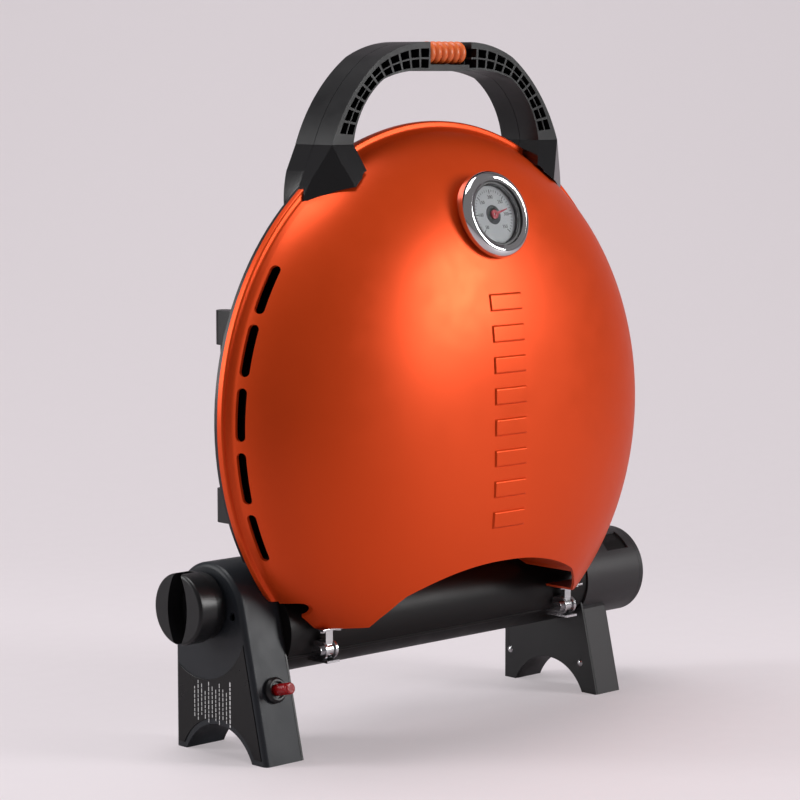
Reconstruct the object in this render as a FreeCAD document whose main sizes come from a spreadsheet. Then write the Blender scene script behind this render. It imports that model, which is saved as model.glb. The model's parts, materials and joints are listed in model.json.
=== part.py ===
import FreeCAD, Part
import Sketcher
import math
import os

# Portable tabletop gas grill, closed and standing on its two leg housings.
# Frame: X runs along the gas tube, Y points to the back (bowl side), Z is up, the floor is Z = 0.
# X = 0 is the middle plane of the clamshell.

doc = FreeCAD.newDocument("portable_grill")
sheet = doc.addObject("Spreadsheet::Sheet", "Sizes")
Vector = FreeCAD.Vector
X_AXIS = Vector(1, 0, 0)
Y_AXIS = Vector(0, 1, 0)
Z_AXIS = Vector(0, 0, 1)
LEFTWARD = Vector(-1, 0, 0)
pieces = []


# ---------------------------------------------------------------- sizes

class Size:
    """A number in millimetres or degrees that remembers the spreadsheet formula it comes from."""

    def __init__(self, number, formula=None):
        self.number = float(number)
        self.formula = formula or repr(float(number))

    def __float__(self):
        return self.number

    def __add__(self, other):
        other = as_size(other)
        return Size(self.number + other.number, "(%s + %s)" % (self.formula, other.formula))

    def __sub__(self, other):
        other = as_size(other)
        return Size(self.number - other.number, "(%s - %s)" % (self.formula, other.formula))

    def __mul__(self, other):
        other = as_size(other)
        return Size(self.number * other.number, "(%s * %s)" % (self.formula, other.formula))

    def __truediv__(self, other):
        other = as_size(other)
        return Size(self.number / other.number, "(%s / %s)" % (self.formula, other.formula))

    def __neg__(self):
        return Size(-self.number, "(0 - %s)" % self.formula)

    def __radd__(self, other):
        return as_size(other) + self

    def __rsub__(self, other):
        return as_size(other) - self

    def __rmul__(self, other):
        return as_size(other) * self


def as_size(value):
    return value if isinstance(value, Size) else Size(value)


def cosine(angle):
    return Size(math.cos(math.radians(float(angle))), "cos(%s * 1 deg)" % as_size(angle).formula)


def sine(angle):
    return Size(math.sin(math.radians(float(angle))), "sin(%s * 1 deg)" % as_size(angle).formula)


def root(value):
    value = as_size(value)
    return Size(math.sqrt(value.number), "sqrt(%s)" % value.formula)


def size(alias, number, note):
    """Adds one driving dimension to the sheet."""
    size.row += 1
    sheet.set("A%d" % size.row, note)
    sheet.set("B%d" % size.row, repr(float(number)))
    sheet.setAlias("B%d" % size.row, alias)
    return Size(number, "Sizes." + alias)


size.row = 0

# clamshell
parting_y = size("parting_y", -22.6, "plane where lid and bowl meet")
clam_z = size("clam_z", 284.6, "height of the clamshell centre")
rim_radius = size("rim_radius", 245.5, "outer radius of the lid flange")
flange_depth = size("flange_depth", 7.0, "depth of the lid flange")
lid_radius = size("lid_radius", 240.5, "lid dome radius at the parting plane")
lid_drop = size("lid_drop", 6.0, "how far the dome's centre lies below the flange's centre")
lid_tilt = size("lid_tilt", 1.5, "downward tilt of the dome in degrees")
shoulder_radius = size("shoulder_radius", 58.0, "arc at the lid's side wall")
shoulder_angle = size("shoulder_angle", 35.0, "where the side arc ends, from the dome's axis in degrees")
face_radius = size("face_radius", 250.0, "arc between side wall and crown")
face_angle = size("face_angle", 9.0, "where the crown starts, from the dome's axis in degrees")
lid_wall = size("lid_wall", 2.2, "lid sheet thickness")
lug_bottom_z = size("lug_bottom_z", 108.0, "bottom of the lid's hinge lugs")
lug_inner_x = size("lug_inner_x", 126.0, "inner corner of a hinge lug")
arch_top_z = size("arch_top_z", 155.0, "top of the arch between the lugs")
arch_radius_lid = size("arch_radius_lid", 260.0, "radius of the arch between the lugs")
bowl_sphere = size("bowl_sphere", 348.0, "radius of the sphere the bowl is part of")
bowl_depth = size("bowl_depth", 94.0, "bowl depth behind the parting plane")
bowl_wall = size("bowl_wall", 2.5, "bowl casting thickness")
bowl_bottom_z = size("bowl_bottom_z", 148.0, "straight lower edge of the bowl")
bowl_gap = size("bowl_gap", 0.4, "gap between lid flange and bowl flange")

# leg housings
leg_inner_x = size("leg_inner_x", 181.6, "inner face of a leg housing")
left_outer_x = size("left_outer_x", 223.3, "outer face of the left housing")
right_outer_x = size("right_outer_x", 215.5, "outer face of the right leg")
leg_front_y = size("leg_front_y", -57.0, "front of the foot on the floor")
leg_back_y = size("leg_back_y", 60.0, "back face of the leg")
leg_lean = size("leg_lean", 13.5, "lean of the front face in degrees")
leg_top_y = size("leg_top_y", 16.5, "centre of the rounded top, across")
leg_top_z = size("leg_top_z", 120.0, "centre of the rounded top, up")
leg_top_radius = size("leg_top_radius", 43.5, "radius of the rounded top")
arch_middle_y = size("arch_middle_y", 3.4, "middle of the foot arch")
arch_half = size("arch_half", 42.2, "half width of the foot arch on the floor")
arch_radius = size("arch_radius", 46.4, "radius of the foot arch")
housing_wall = size("housing_wall", 3.0, "plastic wall thickness")
cover_plate = size("cover_plate", 2.5, "thickness of the inner cover plate")
label_radius = size("label_radius", 57.0, "arc that bounds the label plate")

# gas tube
tube_y = size("tube_y", -4.0, "gas tube axis, across")
tube_z = size("tube_z", 103.8, "gas tube axis, up")
tube_radius = size("tube_radius", 38.0, "outer radius of the gas tube")
tube_wall = size("tube_wall", 1.6, "gas tube sheet thickness")
sleeve_radius = size("sleeve_radius", 39.8, "outer radius of the right end sleeve")
sleeve_end_x = size("sleeve_end_x", 256.0, "end of the right sleeve")
cap_end_x = size("cap_end_x", 262.0, "outer face of the cartridge cap")
play = size("play", 0.05, "running clearance on a radius")

# knob and igniter
knob_y = size("knob_y", 19.0, "knob axis, across")
knob_z = size("knob_z", 127.0, "knob axis, up")
knob_radius = size("knob_radius", 30.5, "knob radius at its front")
knob_length = size("knob_length", 28.0, "knob length")
lens_half = size("lens_half", 12.5, "half width of the hollow in the knob's face")
lens_depth = size("lens_depth", 17.0, "depth of the hollow in the knob's face")
spindle_radius = size("spindle_radius", 4.0, "valve spindle radius")
igniter_x = size("igniter_x", -202.0, "igniter axis, along the tube")
igniter_height = size("igniter_height", 62.0, "igniter height along the front face")

# hinges
hinge_x = size("hinge_x", 147.7, "middle of a hinge")
hinge_y = size("hinge_y", -48.0, "lid pivot, across")
hinge_z = size("hinge_z", 88.0, "lid pivot, up")
pin_radius = size("pin_radius", 2.5, "hinge pin radius")
arm_width = size("arm_width", 8.0, "width of a hinge arm")
ear_thickness = size("ear_thickness", 2.5, "thickness of a bracket ear")
foot_half = size("foot_half", 13.0, "half width of a hinge arm's foot")
foot_screw_step = size("foot_screw_step", 9.0, "distance of each foot screw from the arm's middle")

# handle
handle_half = size("handle_half", 22.6, "depth of one handle half")
handle_gap = size("handle_gap", 0.4, "seam between the handle halves")
handle_joint_z = size("handle_joint_z", 512.0, "where the grip meets its sockets")
handle_top_z = size("handle_top_z", 598.0, "top of the grip")
slider_length = size("slider_length", 44.0, "length of the latch slider")
slider_travel = size("slider_travel", 5.0, "travel of the latch slider")

# thermometer
gauge_z = size("gauge_z", 450.0, "height of the thermometer")
gauge_y = size("gauge_y", -94.5, "lid surface at the thermometer")
gauge_radius = size("gauge_radius", 38.0, "radius of the bezel")
gauge_tilt = size("gauge_tilt", 17.0, "upward tilt of the dial in degrees")
gauge_lip = size("gauge_lip", 9.5, "width of the bezel ring")
needle_rest = 15

# cooking parts
grate_radius = size("grate_radius", 210.0, "radius of the cooking grate")
grate_y = size("grate_y", -17.0, "front face of the cooking grate")
grate_thickness = size("grate_thickness", 8.0, "thickness of the cooking grate")
grate_pitch = size("grate_pitch", 22.0, "distance between grate bars")
grate_slot = size("grate_slot", 12.0, "width of a slot in the grate")
burner_y = size("burner_y", 32.0, "plane of the burner ring")
pipe_y = size("pipe_y", 36.5, "burner pipe, across")
burner_radius = size("burner_radius", 120.0, "middle radius of the burner ring")
burner_tube = size("burner_tube", 9.0, "radius of the burner tube")

# folding legs
stand_x = size("stand_x", 141.0, "pivot of a folding leg, from the middle")
stand_y = size("stand_y", 88.0, "pivot of a folding leg, across")
stand_low_z = size("stand_low_z", 196.0, "lower knuckle of a folding leg")
stand_high_z = size("stand_high_z", 352.0, "upper knuckle of a folding leg")
stand_length = size("stand_length", 112.0, "length of a folding leg")
stand_rod = size("stand_rod", 4.5, "radius of the folding leg's rod")
knuckle_half = size("knuckle_half", 15.0, "half height of a knuckle")
knuckle_radius = size("knuckle_radius", 8.0, "radius of a knuckle about its pivot")

# details
vent_count = 5
vent_first = size("vent_first", 29.0, "angle of the top vent slot in degrees")
vent_step = size("vent_step", 12.9, "angle between vent slots in degrees")
vent_length = size("vent_length", 44.0, "length of a vent slot")
vent_width = size("vent_width", 8.6, "width of a vent slot")
vent_y = size("vent_y", -42.0, "plane of the vent slots")
arch_drop = size("arch_drop", 19.4, "how far the foot arch's centre lies below the floor")
screw_radius = size("screw_radius", 1.8, "cover screw shank radius")
screw_z = size("screw_z", 27.0, "height of the cover screws")
pipe_radius = size("pipe_radius", 4.0, "burner pipe radius")
cable_radius = size("cable_radius", 1.5, "ignition cable radius")
electrode_radius = size("electrode_radius", 3.5, "electrode ceramic radius")
electrode_x = size("electrode_x", -22.0, "electrode, along the tube")
electrode_y = size("electrode_y", 39.0, "electrode, across")
cable_y = size("cable_y", 50.0, "ignition cable, across")
cable_z = size("cable_z", 108.0, "ignition cable beside the tube, up")
igniter_radius = size("igniter_radius", 7.0, "threaded barrel of the igniter")
button_radius = size("button_radius", 5.0, "igniter button radius")
button_travel = size("button_travel", 5.0, "igniter button travel")
knob_travel = size("knob_travel", 3.0, "push travel of the knob")
gauge_stem_radius = size("gauge_stem_radius", 4.0, "thermometer stem radius")
tray_z = size("tray_z", 170.0, "lower edge of the drip tray")
tray_side = size("tray_side", 90.0, "side of the square drip tray")
tray_wall = size("tray_wall", 2.0, "drip tray sheet thickness")
drain_radius = size("drain_radius", 7.0, "drain hole in the bowl")
saddle_half = size("saddle_half", 140.0, "half length of the saddle between tube and bowl")
notch_radius = size("notch_radius", 9.0, "notch in the lid beside each leg")
peep_radius = size("peep_radius", 3.5, "peep hole beside the knob")
peep_y = size("peep_y", -14.5, "peep hole, across")
peep_z = size("peep_z", 121.0, "peep hole, up")
label_thickness = size("label_thickness", 0.7, "thickness of the label plate")
label_margin = size("label_margin", 4.5, "housing rim left round the label plate")
label_y = size("label_y", 24.8, "centre of the arc that bounds the label, across")
cover_screw_front_y = size("cover_screw_front_y", -36.4, "front cover screw, across")
cover_screw_back_y = size("cover_screw_back_y", 53.2, "back cover screw, across")
screw_head_radius = size("screw_head_radius", 4.5, "radius of a domed cover screw head")
regulator_x = size("regulator_x", -30.0, "back of the regulator, along the tube")
hose_radius = size("hose_radius", 3.5, "gas hose radius")
hose_offset = size("hose_offset", 4.0, "gas hose below and in front of the knob axis")
valve_radius = size("valve_radius", 12.0, "gas valve radius")
valve_end_x = size("valve_end_x", -190.0, "inner end of the gas valve")
slider_drop = size("slider_drop", 9.3, "slider axis below the top of the grip")
slider_reach = size("slider_reach", 13.6, "slider axis in front of the parting plane")
rib_radius = size("rib_radius", 7.6, "slider radius between its ribs")


def forward_and_up(angle):
    """Direction that faces the front and is raised by an angle in degrees."""
    return Vector(0, -cosine(angle).number, sine(angle).number)


igniter_direction = forward_and_up(leg_lean)
gauge_direction = forward_and_up(gauge_tilt)


# ---------------------------------------------------------------- helpers

def bind(target, prop, value):
    target.setExpression(prop, as_size(value).formula)


def place(target, x=0, y=0, z=0, turn=None):
    """Puts an object in the row frame with its position bound to the sheet."""
    if turn is not None:
        target.Placement.Rotation = turn
    bind(target, "Placement.Base.x", x)
    bind(target, "Placement.Base.y", y)
    bind(target, "Placement.Base.z", z)
    return target


def towards(direction):
    return FreeCAD.Rotation(Z_AXIS, direction)


def piece(target, label):
    target.Label = label
    pieces.append(target)
    return target


def add(kind, name, **bound):
    """A Part primitive whose properties are bound to the sheet."""
    target = doc.addObject(kind, name)
    for prop, value in bound.items():
        bind(target, prop, value)
    return target


def box(name, low, high):
    """A box between two corners given as (x, y, z)."""
    lengths = [high[i] - low[i] for i in range(3)]
    target = add("Part::Box", name, Length=lengths[0], Width=lengths[1], Height=lengths[2])
    return place(target, *low)


def rod(name, radius, length, at, direction=Z_AXIS):
    target = add("Part::Cylinder", name, Radius=radius, Height=length)
    return place(target, *at, turn=towards(direction))


def fuse(name, parts):
    target = doc.addObject("Part::MultiFuse", name)
    target.Shapes = parts
    return target


def cut(name, base, tools):
    target = doc.addObject("Part::Cut", name)
    target.Base = base
    target.Tool = tools[0] if len(tools) == 1 else fuse(name + "_tools", tools)
    return target


def common(name, first, second):
    target = doc.addObject("Part::MultiCommon", name)
    target.Shapes = [first, second]
    return target


def fixed_shape(name, shape):
    target = doc.addObject("Part::Feature", name)
    target.Shape = shape
    return target


def new_body(name):
    return doc.addObject("PartDesign::Body", name)


def sketch_in(body, role, offset=0):
    drawing = body.newObject("Sketcher::SketchObject", body.Name + "_sketch")
    plane = [f for f in body.Origin.OriginFeatures if f.Role == role][0]
    drawing.AttachmentSupport = [(plane, "")]
    drawing.MapMode = "FlatFace"
    bind(drawing, "AttachmentOffset.Base.z", offset)
    return drawing


def hold(drawing, side, end, corner):
    """Ties one end of a side to its bound coordinates."""
    for kind, axis, value in (("DistanceX", -2, corner[0]), ("DistanceY", -1, corner[1])):
        value = as_size(value)
        if value.number == 0:
            drawing.addConstraint(Sketcher.Constraint("PointOnObject", side, end, axis))
            continue
        if value.number > 0:
            constraint = Sketcher.Constraint(kind, -1, 1, side, end, value.number)
        else:
            value = -value
            constraint = Sketcher.Constraint(kind, side, end, -1, 1, value.number)
        index = drawing.addConstraint(constraint)
        drawing.setExpression("Constraints[%d]" % index, value.formula)


def arc_between(start, end, radius):
    """Circle arc from start to end, turning left for a positive radius and right for a negative one."""
    chord = end - start
    middle = (start + end) * 0.5
    normal = Vector(-chord.y, chord.x, 0).normalize()
    reach = math.sqrt(max(radius * radius - chord.Length ** 2 / 4, 0))
    centre = middle + normal * (reach if radius > 0 else -reach)
    first, last = (start, end) if radius > 0 else (end, start)
    first_angle = math.atan2(first.y - centre.y, first.x - centre.x)
    last_angle = math.atan2(last.y - centre.y, last.x - centre.x)
    return Part.ArcOfCircle(Part.Circle(centre, Z_AXIS, abs(radius)), first_angle, last_angle)


def draw(drawing, outline):
    """Closed outline of (x, y) corners. A third value is the radius of the arc that arrives there."""
    sides = []
    points = [Vector(float(corner[0]), float(corner[1]), 0) for corner in outline]
    for number in range(len(outline)):
        following = (number + 1) % len(outline)
        corner = outline[following]
        if len(corner) == 3:
            radius = as_size(corner[2])
            geometry = arc_between(points[number], points[following], radius.number)
            ends = (1, 2) if radius.number > 0 else (2, 1)
        else:
            radius = None
            geometry = Part.LineSegment(points[number], points[following])
            ends = (1, 2)
        side = drawing.addGeometry(geometry, False)
        sides.append((side, ends, radius))
    for number, (side, ends, radius) in enumerate(sides):
        before = sides[number - 1]
        drawing.addConstraint(Sketcher.Constraint("Coincident", before[0], before[1][1], side, ends[0]))
        hold(drawing, side, ends[0], outline[number])
        if radius is not None:
            length = radius if radius.number > 0 else -radius
            index = drawing.addConstraint(Sketcher.Constraint("Radius", side, length.number))
            drawing.setExpression("Constraints[%d]" % index, length.formula)


def draw_circle(drawing, x, y, radius):
    side = drawing.addGeometry(Part.Circle(Vector(float(x), float(y), 0), Z_AXIS, float(radius)), False)
    index = drawing.addConstraint(Sketcher.Constraint("Radius", side, float(radius)))
    drawing.setExpression("Constraints[%d]" % index, as_size(radius).formula)
    hold(drawing, side, 3, (x, y))


def turned(name, outline):
    """A body turned about its own Z axis from an outline of (radius, height) corners."""
    body = new_body(name)
    drawing = sketch_in(body, "XZ_Plane")
    draw(drawing, outline)
    turn = body.newObject("PartDesign::Revolution", name + "_turn")
    turn.Profile = drawing
    turn.ReferenceAxis = (drawing, ["V_Axis"])
    turn.Angle = 360
    return body


def pad(body, role, offset, length, outlines=(), circles=()):
    """Adds material from a sketch plane along the plane's normal."""
    drawing = sketch_in(body, role, offset)
    for outline in outlines:
        draw(drawing, outline)
    for circle in circles:
        draw_circle(drawing, *circle)
    feature = body.newObject("PartDesign::Pad", body.Name + "_pad")
    feature.Profile = drawing
    bind(feature, "Length", length)
    return feature


def dress(body, kind, feature, amount, chosen):
    """Fillets or chamfers the edges of a feature that pass the test chosen(edge)."""
    doc.recompute()
    names = ["Edge%d" % (n + 1) for n, edge in enumerate(feature.Shape.Edges) if chosen(edge)]
    target = body.newObject("PartDesign::" + kind, body.Name + "_" + kind.lower())
    target.Base = (feature, names)
    bind(target, "Radius" if kind == "Fillet" else "Size", amount)
    body.Tip = target
    return target


def lies_at(axis, value):
    """Test for edges that lie in one plane across an axis (0, 1 or 2)."""
    def test(edge):
        limits = edge.BoundBox
        low = (limits.XMin, limits.YMin, limits.ZMin)[axis]
        high = (limits.XMax, limits.YMax, limits.ZMax)[axis]
        return abs(low - float(value)) < 0.01 and abs(high - float(value)) < 0.01
    return test


def wire(name, radius, points):
    """A round wire or pipe through points, with a ball at each bend."""
    parts = []
    for number in range(len(points) - 1):
        start, end = [Vector(*[float(value) for value in point]) for point in points[number:number + 2]]
        parts.append(rod(name + "_run", radius, (end - start).Length, points[number], end - start))
    for point in points[1:-1]:
        parts.append(place(add("Part::Sphere", name + "_bend", Radius=radius), *point))
    return fuse(name, parts) if len(parts) > 1 else parts[0]


def prism(name, role, start, length, outline):
    """An outline pushed along the normal of one of the body's own planes."""
    body = new_body(name)
    pad(body, role, start, length, outlines=[outline])
    return body


# ---------------------------------------------------------------- clamshell

def lid_dome(name, inset):
    """Solid dome of three tangent arcs, from the side wall to the crown."""
    shoulder = shoulder_radius - inset
    face = face_radius - inset
    shoulder_middle = lid_radius - shoulder_radius
    face_middle = shoulder_middle - (face_radius - shoulder_radius) * sine(shoulder_angle)
    face_base = -((face_radius - shoulder_radius) * cosine(shoulder_angle))
    crown_base = face_base - face_middle * cosine(face_angle) / sine(face_angle)
    crown = face + face_middle / sine(face_angle)
    behind = Size(-20)
    return place(turned(name, [
        (0, behind),
        (lid_radius - inset, behind),
        (lid_radius - inset, 0),
        (shoulder_middle + shoulder * sine(shoulder_angle), shoulder * cosine(shoulder_angle), shoulder),
        (face_middle + face * sine(face_angle), face_base + face * cosine(face_angle), face),
        (0, crown_base + crown, crown),
    ]), 0, parting_y, clam_z - lid_drop, turn=FreeCAD.Rotation(X_AXIS, 90 + lid_tilt.number))


def disc(name, radius, near_y, far_y):
    return rod(name, radius, far_y - near_y, (0, near_y, clam_z), Y_AXIS)


def front_of_parting(name):
    return box(name, (-300, -200, 0), (300, parting_y, 700))


def lid_edge_region(name, rise):
    """Everything above the lid's lower edge: a lug at each side and the arch between them."""
    low = lug_bottom_z + rise
    inner = lug_inner_x - rise
    shoulder_x = inner - 22
    shoulder_z = low + 0.55 * (arch_top_z - lug_bottom_z)
    outline = [
        (-300, low), (-inner, low), (-shoulder_x, shoulder_z), (0, arch_top_z + rise, -arch_radius_lid),
        (shoulder_x, shoulder_z, -arch_radius_lid), (inner, low), (300, low), (300, 700), (-300, 700),
    ]
    return prism(name, "XZ_Plane", -100, 400, outline)


def vent_slots():
    """Five rounded slots on each side of the lid, all in one plane just in front of the flange."""
    slots = []
    for number in range(vent_count):
        middle = float(vent_first) - number * float(vent_step)
        for turn in (middle, 180 - middle):
            reach = float(vent_length - vent_width) / 2
            corner = Vector(190, -float(vent_width) / 2, -reach)
            slot = Part.makeBox(90, float(vent_width), 2 * reach, corner)
            ends = [Part.makeCylinder(float(vent_width) / 2, 90, Vector(190, 0, end), X_AXIS)
                    for end in (-reach, reach)]
            slot = slot.fuse(ends)
            slot.rotate(Vector(0, 0, 0), Y_AXIS, -turn)
            slot.translate(Vector(0, float(vent_y), float(clam_z - lid_drop)))
            slots.append(slot)
    return fixed_shape("vent_slots", Part.makeCompound(slots))


def make_lid():
    outer = common("lid_front", lid_dome("lid_outer", Size(0)), front_of_parting("lid_side"))
    flange = disc("lid_flange", rim_radius, parting_y - flange_depth, parting_y)
    solid = fuse("lid_solid", [outer, flange])
    trimmed = common("lid_trimmed", solid, lid_edge_region("lid_edge", Size(0)))
    inner = lid_dome("lid_inner", lid_wall)
    hollow = common("lid_hollow", inner, lid_edge_region("lid_inner_edge", lid_wall))
    tools = [hollow, vent_slots()]
    tools.append(rod("tube_room", tube_radius + 4.5, 2 * leg_inner_x + 120,
                     (-leg_inner_x - 60, tube_y, tube_z), X_AXIS))
    for side in (-1, 1):
        near, far = sorted((side * (leg_inner_x - 3), side * (leg_inner_x + 120)), key=float)
        tools.append(box("leg_room", (near, -32, 60), (far, 0, leg_top_z + 12)))
        tools.append(rod("leg_top_room", leg_top_radius + 1, 120, (near, leg_top_y, leg_top_z), X_AXIS))
        tools.append(rod("notch", notch_radius, 80, (side * (leg_inner_x - 2), -90, leg_top_z + 3), Y_AXIS))
    stem = gauge_stem_radius + 0.2
    seat = gauge_radius - gauge_lip
    room = [(0, -60), (stem, -60), (stem, 0.3), (seat, 0.3), (seat, 30), (0, 30)]
    tools.append(gauge_turned("gauge_room", room))
    return cut("lid_shell", trimmed, tools), solid


def bowl_turn(name, inset):
    """Solid cap of a sphere behind the parting plane."""
    sphere = bowl_sphere - inset
    start = bowl_sphere - bowl_depth + bowl_gap
    mouth = root(sphere * sphere - start * start)
    outline = [(0, bowl_gap), (mouth, bowl_gap), (0, bowl_depth - inset, sphere)]
    return place(turned(name, outline), 0, parting_y, clam_z, turn=FreeCAD.Rotation(X_AXIS, -90))


def bowl_region(name, rise):
    """Everything above the bowl's straight lower edge and clear of the leg housings."""
    side = leg_inner_x - 3 - rise
    low = bowl_bottom_z + rise
    step = leg_top_z + leg_top_radius + 3 + rise
    outline = [(-300, step), (-side, step), (-side, low), (side, low), (side, step), (300, step),
               (300, 700), (-300, 700)]
    return prism(name, "XZ_Plane", -200, 400, outline)


def make_bowl():
    front = parting_y + bowl_gap
    flange = disc("bowl_flange", rim_radius - 1.5, front, front + 4.5)
    solid = fuse("bowl_solid", [bowl_turn("bowl_outer", Size(0)), flange])
    trimmed = common("bowl_trimmed", solid, bowl_region("bowl_edge", Size(0)))
    inner = bowl_turn("bowl_inner", bowl_wall)
    hollow = common("bowl_hollow", inner, bowl_region("bowl_inner_edge", bowl_wall))
    tools = [
        hollow,
        rod("pipe_hole", pipe_radius + 0.5, 10, (0, pipe_y, bowl_bottom_z - 5)),
        rod("electrode_hole", electrode_radius + 0.3, 10, (electrode_x, electrode_y, bowl_bottom_z - 5)),
        rod("drain_hole", drain_radius, 20, (0, parting_y + bowl_depth - 20, tray_z + tray_side / 2),
            Y_AXIS),
    ]
    return cut("base_bowl", trimmed, tools), solid


# ---------------------------------------------------------------- leg housings

def leg_outline(inset):
    """Side view of a leg: leaning front, rounded top, upright back and an arch between the feet."""
    radius = leg_top_radius - inset
    front = leg_front_y + 1.3 * inset
    spread = 0.6 * inset
    return [
        (front, inset),
        (arch_middle_y - arch_half - spread, inset),
        (arch_middle_y, arch_radius + inset - arch_drop, -(arch_radius + inset)),
        (arch_middle_y + arch_half + spread, inset, -(arch_radius + inset)),
        (leg_back_y - inset, inset),
        (leg_back_y - inset, leg_top_z),
        (leg_top_y, leg_top_z + radius, radius),
        (leg_top_y - radius * cosine(leg_lean), leg_top_z + radius * sine(leg_lean), radius),
    ]


def leg_plate(name, start, length, inset):
    return prism(name, "YZ_Plane", start, length, leg_outline(as_size(inset)))


def upper_edges_at(face_x):
    """Test for the outer face's edges above the foot arch."""
    in_face = lies_at(0, face_x)
    return lambda edge: in_face(edge) and edge.BoundBox.ZMax > 60


def make_left_housing():
    shell = leg_plate("left_leg_shell", -left_outer_x, left_outer_x - leg_inner_x - cover_plate - 0.1, 0)
    dress(shell, "Fillet", shell.Tip, 4.5, upper_edges_at(-left_outer_x))
    inside = -left_outer_x + housing_wall
    hollow = leg_plate("left_leg_hollow", inside, left_outer_x - leg_inner_x, housing_wall)
    bush = rod("spindle_hole", spindle_radius + play, 20, (-left_outer_x - 5, knob_y, knob_z), X_AXIS)
    peep = rod("peep_hole", peep_radius, 20, (-left_outer_x - 5, peep_y, peep_z), X_AXIS)
    igniter = rod("igniter_hole", igniter_radius + 0.05, 30, on_front_face(-20), igniter_direction)
    return cut("left_leg_housing", shell, [hollow, bush, peep, igniter])


def make_right_housing():
    outline = [
        (leg_front_y, 0),
        (arch_middle_y - arch_half, 0),
        (arch_middle_y, arch_radius - arch_drop, -arch_radius),
        (arch_middle_y + arch_half, 0, -arch_radius),
        (leg_back_y, 0),
        (leg_back_y, 70),
        (tube_y + 0.8 * sleeve_radius, tube_z + 0.6 * sleeve_radius),
        (tube_y - 0.8 * sleeve_radius, tube_z - 0.6 * sleeve_radius),
        (leg_front_y + 80 * sine(leg_lean), 80 * cosine(leg_lean)),
    ]
    start = leg_inner_x + cover_plate + 0.1
    shell = prism("right_leg_shell", "YZ_Plane", start, right_outer_x - start, outline)
    dress(shell, "Fillet", shell.Tip, 3, upper_edges_at(right_outer_x))
    sleeve = rod("right_sleeve", sleeve_radius, sleeve_end_x - start, (start, tube_y, tube_z), X_AXIS)
    inner = [
        (leg_front_y + 5, 3),
        (arch_middle_y - arch_half - 3, 3),
        (arch_middle_y, arch_radius - arch_drop + 3, -(arch_radius + 3)),
        (arch_middle_y + arch_half + 3, 3, -(arch_radius + 3)),
        (leg_back_y - 3, 3),
        (leg_back_y - 3, 66),
        (leg_front_y + 60 * sine(leg_lean) + 6, 58),
    ]
    hollow = prism("right_leg_hollow", "YZ_Plane", start - 1, right_outer_x - start - housing_wall, inner)
    bore = rod("sleeve_bore", tube_radius + 0.1, 100, (start - 5, tube_y, tube_z), X_AXIS)
    window = box("sleeve_window", (right_outer_x + 4, tube_y - 34, tube_z + 24),
                 (sleeve_end_x - 8, tube_y - 14, 150))
    return cut("right_leg_housing", fuse("right_leg_solid", [shell, sleeve]), [hollow, bore, window])


def screw_places(side):
    return [(side * leg_inner_x, screw_y, screw_z) for screw_y in (cover_screw_back_y, cover_screw_front_y)]


def make_cover(name, side):
    """Plate that closes the inner side of a leg housing; the tube passes through the right one only."""
    start = leg_inner_x if side > 0 else -leg_inner_x - cover_plate
    plate = leg_plate(name + "_plate", start, cover_plate, 0)

    def hole(role, radius, y, z):
        return rod(name + role, radius, 20, (start - 5, y, z), X_AXIS)

    tools = [hole("_screw_hole", screw_radius + play, spot[1], spot[2]) for spot in screw_places(side)]
    if side > 0:
        tools.append(hole("_tube_hole", tube_radius + 0.1, tube_y, tube_z))
    else:
        tools.append(hole("_hose_hole", hose_radius + 0.5, knob_y - hose_offset, knob_z - hose_offset))
        tools.append(hole("_pipe_hole", pipe_radius + 0.5, pipe_y, knob_z))
        tools.append(hole("_wire_hole", cable_radius + 0.5, cable_y, cable_z))
    return cut(name, plate, tools)


def make_leg_screws():
    screws = []
    for side in (-1, 1):
        for spot in screw_places(side):
            head = add("Part::Sphere", "screw_head", Radius=screw_head_radius, Angle1=Size(45))
            centre_x = spot[0] + side * (screw_head_radius * sine(45) - 0.02)
            head = place(head, centre_x, spot[1], spot[2], turn=towards(Vector(-side, 0, 0)))
            shank = rod("screw_shank", screw_radius, 9, spot, Vector(side, 0, 0))
            screws.append(fuse("leg_screw", [head, shank]))
    return fuse("leg_screws", screws)


def make_label():
    plate = leg_plate("label_outline", -left_outer_x - label_thickness, label_thickness - 0.02, label_margin)
    arc = rod("label_arc", label_radius, 10, (-left_outer_x - 5, label_y, leg_top_z), X_AXIS)
    return cut("label_plate", plate, [arc])


# ---------------------------------------------------------------- tube and gas parts

def make_tube():
    """Tube open at the cartridge end; the other end is closed but for the hose hole."""
    start = -leg_inner_x + 0.02
    length = sleeve_end_x - start
    outer = rod("tube_outer", tube_radius, length, (start, tube_y, tube_z), X_AXIS)
    inner = rod("tube_inner", tube_radius - tube_wall, length, (start + tube_wall, tube_y, tube_z), X_AXIS)
    hose_at = (start - 1, knob_y - hose_offset, knob_z - hose_offset)
    return cut("gas_tube", outer, [inner, rod("tube_hose_hole", hose_radius + 0.5, 10, hose_at, X_AXIS)])


def make_cap():
    """Cup that closes the right end of the tube; its skirt turns inside the tube."""
    skirt = tube_radius - tube_wall - play
    cup = turned("cap_cup", [
        (0, 0),
        (skirt, 0),
        (skirt, 12.2),
        (sleeve_radius, 12.2),
        (sleeve_radius, cap_end_x - sleeve_end_x + 10),
        (sleeve_radius - 2, cap_end_x - sleeve_end_x + 12, 2),
        (0, cap_end_x - sleeve_end_x + 12),
    ])
    place(cup, sleeve_end_x - 12, tube_y, tube_z, turn=towards(X_AXIS))
    hollow = rod("cap_hollow", skirt - 2, 15, (sleeve_end_x - 13, tube_y, tube_z), X_AXIS)
    groove_x = cap_end_x - 3
    grips = [box("cap_grip", (groove_x, tube_y + side * 13 - 6, tube_z - 24),
                 (cap_end_x + 1, tube_y + side * 13 + 6, tube_z + 24)) for side in (-1, 1)]
    return cut("cartridge_cap", cup, [hollow] + grips)


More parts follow.
